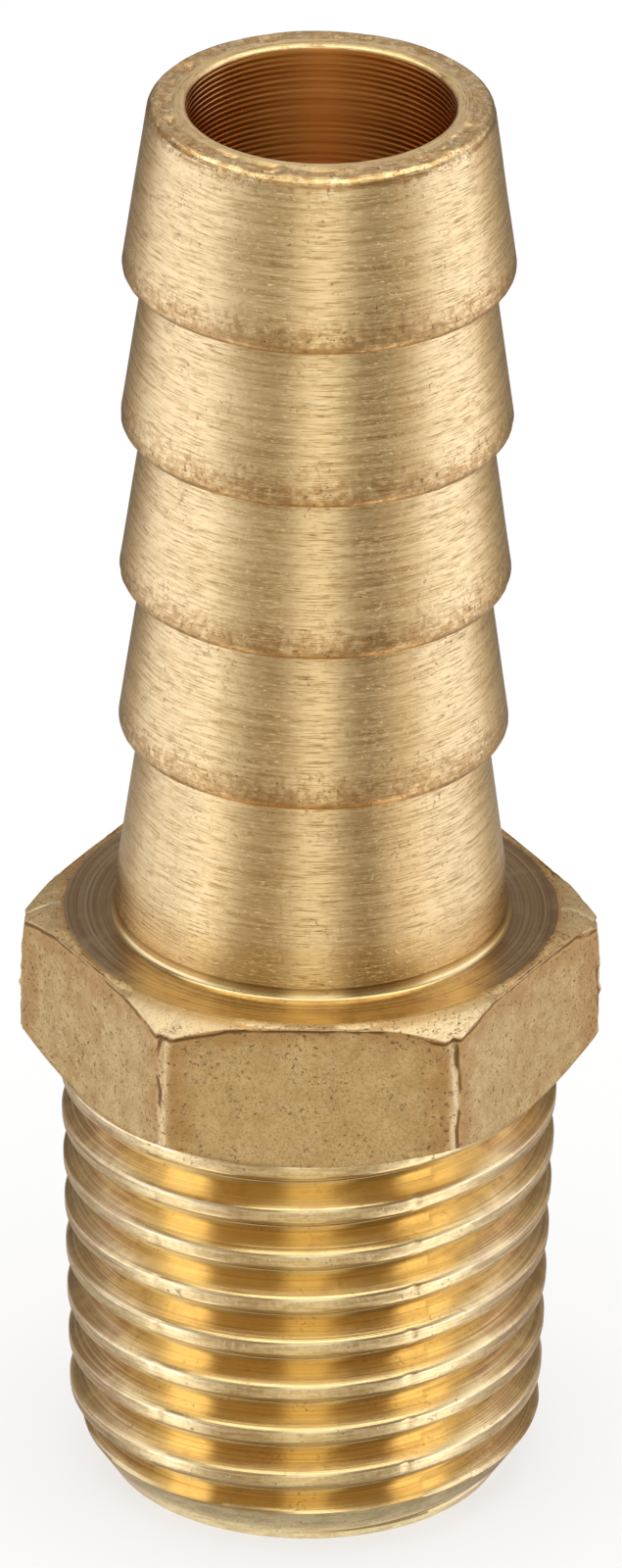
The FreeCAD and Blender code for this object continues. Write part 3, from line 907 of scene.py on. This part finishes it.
# %% Thread surface on climbing rows
def thread_lattice():
    """Heights on rows that climb one pitch a turn, and the place of each row across its pitch."""
    per_pitch = len(ACROSS)
    pitches = int(np.ceil((THREAD_TOP - GROOVE_START) / PITCH)) + 2
    row = np.arange(per_pitch * pitches)
    column = np.arange(THREAD_COLUMNS)
    across = ACROSS[row % per_pitch][:, None] + 0.0 * column
    climb = PITCH * (row // per_pitch)[:, None] + PITCH * column / THREAD_COLUMNS
    height = GROOVE_START - PITCH + across + climb
    return height, across, np.broadcast_to(column / THREAD_COLUMNS, height.shape)


def thread_surface(height, across, around):
    """Crest cone less the groove: each land has a rounded foot, a worn top edge with a burr, hollows and two nicks.

    The end chamfer cuts it all off. After the radius come the painted shade of the grooves' roots and feet,
    the burr with its painted highlight, and where it is cut off.
    """
    from_groove = np.minimum(across, PITCH - across)
    depth = GROOVE_DEPTH * np.clip((GROOVE_MOUTH - from_groove) / (GROOVE_MOUTH - GROOVE_ROOT), 0.0, 1.0)
    foot = bump_at(across, GROOVE_MOUTH, 0.04)
    ragged = 0.5 + 0.5 * rough_lumps(around, height, 130, 0.9, 61)
    burr = bump_at(across, BURR_LINE - 0.030, 0.050) * ragged
    land = smooth((from_groove - GROOVE_MOUTH + 0.03) / 0.05)
    nicked = sum(bump_at(around, turn, width) for turn, width in NICK_TURNS)
    nick = land * nicked * patches(around, height, LAND_NICKS, 0.5)
    rounded = FOOT_ROUND * np.clip(1.0 - (across - GROOVE_MOUTH) / 0.16, 0.0, 2.0) ** 2
    worn = TOP_WORN * (0.6 + 0.4 * ragged) * np.clip(1.0 - (BURR_LINE - across) / 0.09, 0.0, 2.0) ** 2
    radius = crest_radius(height) - np.maximum(depth, np.where(across < PITCH / 2.0, rounded, worn))
    radius = radius + BURR_HEIGHT * burr - FOOT_DEPTH * foot * ragged - LAND_NICK * nick
    radius = radius - LAND_HOLLOW * land * (0.5 + 0.5 * lumps(around, height, 24, 0.7, 71))
    chamfer = END_RADIUS + height * (crest_radius(END_CHAMFER) - END_RADIUS) / END_CHAMFER
    rough_end = 0.5 + 0.5 * rough_lumps(around, height, 60, 0.4, 73)
    chamfer = chamfer - END_RAGGED * rough_end * smooth(height / 0.2)
    ended = radius > chamfer
    # Painted shade in the roots and at each land's foot.
    shadowed = np.maximum(0.7 * foot, 0.45 * bump_at(from_groove, 0.0, 0.10))
    return np.minimum(radius, chamfer), np.where(ended, 0.0, shadowed), np.where(ended, 0.0, burr), ended


lattice_height, lattice_across, lattice_around = thread_lattice()
inside = (lattice_height > SNAP) & (lattice_height < THREAD_TOP - SNAP)
print("thread lattice", lattice_height.shape, "points kept", int(inside.sum()))


# %% Level rings that close the thread
def closing_rings():
    """Level rows from the thread's top ring inwards, down the bore and out over the end face to its bottom ring."""
    column = np.arange(THREAD_COLUMNS) / THREAD_COLUMNS
    top = np.full(THREAD_COLUMNS, THREAD_TOP)
    groove_turn = np.mod(top - GROOVE_START - PITCH * column, PITCH)
    top_radius = thread_surface(top, groove_turn, column)[0]
    fixed = np.array([
        [4.6, THREAD_TOP], [BORE, THREAD_TOP], [BORE, 9.0], [BORE, 5.0], [BORE, 2.0], [BORE, 0.20],
        [BORE + 0.05, 0.09], [BORE + 0.20, 0.0], [4.3, 0.0], [4.8, 0.0], [5.2, 0.0], [END_RADIUS - 0.04, 0.0],
        [END_RADIUS, 0.0]])
    radius = np.concatenate([top_radius[None, :], np.repeat(fixed[:, :1], THREAD_COLUMNS, axis=1)])
    height = np.concatenate([top[None, :], np.repeat(fixed[:, 1:], THREAD_COLUMNS, axis=1)])
    return radius, height, np.broadcast_to(column, radius.shape)


ring_radius, ring_height, ring_around = closing_rings()
ring_count = ring_radius.size


def thread_faces():
    """Lattice cells with outside points on the end rings and squeezed cells left out; then the level rings' cells."""
    last_ring = (ring_radius.shape[0] - 1) * THREAD_COLUMNS
    rows, columns = lattice_height.shape
    number = np.where(lattice_height <= SNAP, last_ring + np.arange(columns), np.arange(columns))
    number[inside] = ring_count + np.arange(inside.sum())
    shifted = np.concatenate([number[len(ACROSS):], np.tile(np.arange(columns), (len(ACROSS), 1))])
    wrapped = np.concatenate([number[:, 1:], shifted[:, :1]], axis=1)
    a, b = number[:-1].ravel(), wrapped[:-1].ravel()
    c, d = wrapped[1:].ravel(), number[1:].ravel()
    left, right = a == d, b == c
    band = np.repeat(np.arange(rows - 1) % len(ACROSS), columns)
    cells = np.stack([a, b, c, d], axis=1)
    cells[left] = np.stack([a, b, c, c], axis=1)[left]
    cells[right] = np.stack([a, b, d, d], axis=1)[right]
    kept = ~(left & right)
    rings = ring_faces(ring_radius.shape[0], columns)
    return cells[kept], band[kept], rings[:-columns]


thread_cells, cell_band, thread_rings = thread_faces()
screw_height, screw_across, screw_around = lattice_height[inside], lattice_across[inside], lattice_around[inside]
screw_radius, screw_painted_shade, screw_burr, screw_ended = thread_surface(screw_height, screw_across, screw_around)
thread_points = np.concatenate([
    turned_points(ring_radius, ring_height, ring_around),
    turned_points(screw_radius, screw_height, screw_around)])
screw_turn = np.floor((screw_height - GROOVE_START) / PITCH)
# The kept shade is painted shade on the thread's two sides towards +X and -X; the kept burr gets a painted highlight.
thread_kept = {
    "run": screw_across - screw_radius + NOISE_JUMP * screw_turn,
    "shade": 0.9 * smooth((np.abs(np.cos(2.0 * np.pi * screw_around)) - 0.60) / 0.32),
    "land": screw_painted_shade, "burr": screw_burr}
ring_kept = {label: np.zeros(ring_count) for label in thread_kept}
ring_kept["run"] = (ring_height - ring_radius).ravel()
ring_is_bored = ring_radius < BORE + 0.01
ring_finish = np.where(ring_is_bored[:-1] & ring_is_bored[1:], BORED, SKIN).ravel()
on_land = (ACROSS[cell_band] > GROOVE_MOUTH + 0.03) & (ACROSS[cell_band] < BURR_LINE - 0.05)
on_end = np.concatenate([ring_height.ravel() < 0.3, screw_ended])[thread_cells].all(axis=1)
thread = add_piece(
    "pipe_thread", thread_points, np.concatenate([thread_cells, thread_rings]), FINISHES,
    np.concatenate([np.where(on_land | on_end, SKIN, CUT), ring_finish]),
    **{label: np.concatenate([ring_kept[label], thread_kept[label]]) for label in thread_kept})

# %% [markdown]
# All three pieces are one lump of brass on the real fitting, so they ride on
# the frame's one body, and together they stand for its one node.

# %% Join the pieces to the frame
for piece in (tail, hexagon, thread):
    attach(piece, "root")
    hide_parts(NODE)
print("pieces on the frame:", [piece.name for piece in (tail, hexagon, thread)])

# %% [markdown]
# Polished metal shows whatever stands round it, so the light is planned as a
# round tent of bright panels and grey gaps close to the fitting. It could be
# lamps alone, but their small reflections would look like hot spots. The
# camera looks through the tent to a plain white floor and surround.

# %% White surround and floor
def make_surround():
    """A world that is white at strength 1 in every direction."""
    world = bpy.data.worlds.new("white surround")
    bpy.context.scene.world = world
    world.use_nodes = True
    background = world.node_tree.nodes["Background"]
    background.inputs["Color"].default_value = (1.0, 1.0, 1.0, 1.0)
    background.inputs["Strength"].default_value = 1.0


def make_floor_finish():
    """White paper: part takes light and shadow, part glows evenly, and from below the camera sees through it."""
    material, tree = new_material("floor paper")
    tree.nodes.remove(tree.nodes["Principled BSDF"])
    paper = add_node(tree, "BsdfDiffuse", {"Color": (0.42, 0.42, 0.42, 1.0)})
    glow = add_node(tree, "Emission", {"Color": (1.0, 1.0, 1.0, 1.0), "Strength": 0.60})
    both = add_node(tree, "AddShader", {0: paper.outputs[0], 1: glow.outputs[0]})
    clear = add_node(tree, "BsdfTransparent")
    behind = add_node(tree, "NewGeometry").outputs["Backfacing"]
    seen = add_node(tree, "LightPath").outputs["Is Camera Ray"]
    mixed = add_node(tree, "MixShader", {
        0: times(behind, seen), 1: both.outputs[0], 2: clear.outputs[0]})
    tree.links.new(mixed.outputs[0], tree.nodes["Material Output"].inputs["Surface"])
    return material


def shell(name, points, faces, finish):
    """An object of one finish from places in metres and lists of corners."""
    mesh = bpy.data.meshes.new(name)
    mesh.from_pydata(points, [], faces)
    mesh.materials.append(finish)
    return placed(name, mesh)


FLOOR_GAP = 0.02


def add_floor():
    """A flat round floor: one face whose corners lie on a circle a metre out."""
    angle = np.linspace(0.0, 2.0 * np.pi, 96, endpoint=False)
    points = [(np.cos(a), np.sin(a), -FLOOR_GAP * MM) for a in angle]
    floor = shell("floor", points, [list(range(len(points)))], make_floor_finish())
    return floor


make_surround()
floor = add_floor()
print("floor radius in m", round(max(floor.dimensions) / 2.0, 2))

# %% Panels and gaps of the light tent
PANEL = (1.0, 1.0, 1.0)
GAP = (1.0, 0.86, 0.68)
DEEP_GAP = (1.0, 0.75, 0.52)
WARM = (1.0, 0.90, 0.72)
CLEAR = (1.0, 0.97, 1.00)
BACK = (1.0, 0.90, 0.88)
COOL = (0.93, 0.97, 1.14)
WALL_BANDS = [
    (-90, 0.26, BACK), (-83, 0.16, BACK), (-70, 0.38, GAP), (-59, 1.12, COOL), (-50, 1.36, COOL), (-34, 1.34, COOL),
    (-26, 0.64, PANEL), (-16, 0.36, GAP), (-9, 0.33, GAP), (-3, 1.02, PANEL), (6, 1.02, PANEL), (12, 0.22, GAP),
    (21, 0.25, GAP), (30, 0.58, GAP), (38, 1.38, COOL), (55, 1.42, COOL), (65, 0.62, GAP), (73, 0.30, GAP),
    (84, 0.18, BACK), (90, 0.26, BACK)]
SKIRT_BANDS = [
    (-90, 0.12, BACK), (-62, 0.16, GAP), (-46, 0.34, GAP), (-40, 0.90, PANEL), (-37, 1.75, CLEAR),
    (-28, 1.75, CLEAR), (-24.5, 0.39, DEEP_GAP), (-7, 0.39, DEEP_GAP), (-3.5, 1.00, WARM), (4, 1.00, WARM),
    (8.5, 0.34, DEEP_GAP), (22.5, 0.34, DEEP_GAP), (25.5, 1.85, CLEAR), (37, 1.85, CLEAR), (42, 0.36, GAP),
    (62, 0.24, GAP), (90, 0.12, BACK)]
ROOF_BANDS = [
    (-90, 0.60, PANEL), (-76, 0.20, GAP), (-24, 0.20, GAP), (-12, 0.45, PANEL), (-8, 1.00, PANEL), (5, 1.00, PANEL),
    (12, 0.60, PANEL), (30, 0.25, GAP), (47, 0.25, GAP), (54, 1.10, COOL), (66, 1.10, COOL), (76, 0.20, GAP),
    (90, 0.60, PANEL)]
BRIGHT_ROOF = (2.30, 2.22, 2.05, 1.0)
BACK_BELT = (0.58, 0.53, 0.50, 1.0)
DIM_TOP = (0.85, 0.85, 0.85, 1.0)
NEAR_FLOOR = (0.38, 0.36, 0.34, 1.0)
STRIPE = (0.74, 0.70, 0.68, 1.0)
RIPPLE = 4.0
TENT_RADIUS = 38.0
TENT_SHOULDER = 60.0
TENT_TOP = 100.0
TENT_COLUMNS = 128
FITTING_RADIUS = 5.8
FLOOR_EDGE = (7.2, 9.2)
SKIRT_TOP = (2.0, 9.0)
WALL_TOP = (42.0, 48.0)
BELT_LOW = (53.0, 58.0)
BRIGHT_LOW = (63.0, 71.0)
DIM_LOW = (86.0, 94.0)


def add_bands(share, bands):
    """A colour ramp with one stop for each band: its place is the angle's share of half a turn."""
    ramp = add_node(share.id_data, "ValToRGB", {"Fac": share})
    ramp.color_ramp.interpolation = "EASE"
    stops = ramp.color_ramp.elements
    while len(stops) < len(bands):
        stops.new(0.5)
    for stop, (angle, level, tint) in zip(stops, bands):
        stop.position = angle / 180.0 + 0.5
        stop.color = (level * tint[0], level * tint[1], level * tint[2], 1.0)
    return ramp.outputs["Color"]


def make_tent_finish():
    """Glow by the angle of the fitting's side that mirrors a place: its own angle over (2 - FITTING_RADIUS / radius).

    By height it is the skirt, the wall, the low roof, the bright roof with a grey belt at the back, and the dim top.
    """
    material, tree = new_material("light tent")
    tree.nodes.remove(tree.nodes["Principled BSDF"])
    own = add_node(tree, "TexCoord").outputs["Object"]
    x, y, z = add_node(tree, "SeparateXYZ", {0: own}).outputs
    around = math_of("ARCTAN2", x, times(y, -1.0))
    flat = add_node(tree, "CombineXYZ", {0: x, 1: y}).outputs[0]
    radius = add_node(tree, "VectorMath", {0: flat}, operation="LENGTH").outputs["Value"]
    swing = math_of("SUBTRACT", 2.0, math_of("DIVIDE", FITTING_RADIUS * MM, radius))
    mirrored = math_of("DIVIDE", around, swing)
    aside = math_of("ABSOLUTE", mirrored)
    share = added(mirrored, 1.0 / np.pi, 0.5)

    def past(value, span):
        """Eases from 0 to 1 over a span in mm."""
        return eased(value, span[0] * MM, span[1] * MM)

    ripple = math_of("SINE", times(radius, 2.0 * np.pi / (RIPPLE * MM)))
    striped = times(eased(aside, *np.radians([34.0, 44.0])), eased(ripple, -0.5, 0.5))
    skirt = mixed_colour(striped, add_bands(share, SKIRT_BANDS), STRIPE)
    at_back = times(eased(aside, *np.radians([66.0, 76.0])), past(z, BELT_LOW))
    colour = layered(
        NEAR_FLOOR, (past(radius, FLOOR_EDGE), skirt), (past(z, SKIRT_TOP), add_bands(share, WALL_BANDS)),
        (past(z, WALL_TOP), add_bands(share, ROOF_BANDS)), (past(z, BRIGHT_LOW), BRIGHT_ROOF),
        (at_back, BACK_BELT), (past(z, DIM_LOW), DIM_TOP))
    glow = add_node(tree, "Emission", {"Color": colour})
    tree.links.new(glow.outputs[0], tree.nodes["Material Output"].inputs["Surface"])
    return material


# %% Light tent
def add_tent():
    """A skirt on the floor, a round wall and an arched roof, as one profile carried round the axis."""
    arch = np.linspace(0.0, np.pi / 2.0, 13)[1:]
    skirt = np.linspace(FITTING_RADIUS, TENT_RADIUS, 12)
    radius = np.concatenate([skirt, [TENT_RADIUS], np.maximum(TENT_RADIUS * np.cos(arch), 0.05)])
    roof = TENT_SHOULDER + (TENT_TOP - TENT_SHOULDER) * np.sin(arch)
    height = np.concatenate([np.full(12, 0.05), [TENT_SHOULDER], roof])
    turn = np.arange(TENT_COLUMNS) / TENT_COLUMNS
    points = turned_points(*np.broadcast_arrays(radius[:, None], height[:, None], turn))
    faces = ring_faces(len(radius), TENT_COLUMNS)[:-TENT_COLUMNS]
    tent = shell("light_tent", (points * MM).tolist(), faces.tolist(), make_tent_finish())
    tent.visible_camera = False
    tent.visible_diffuse = False
    tent.visible_shadow = False
    return tent


tent = add_tent()
print("tent height in m", round(tent.dimensions.z, 3))
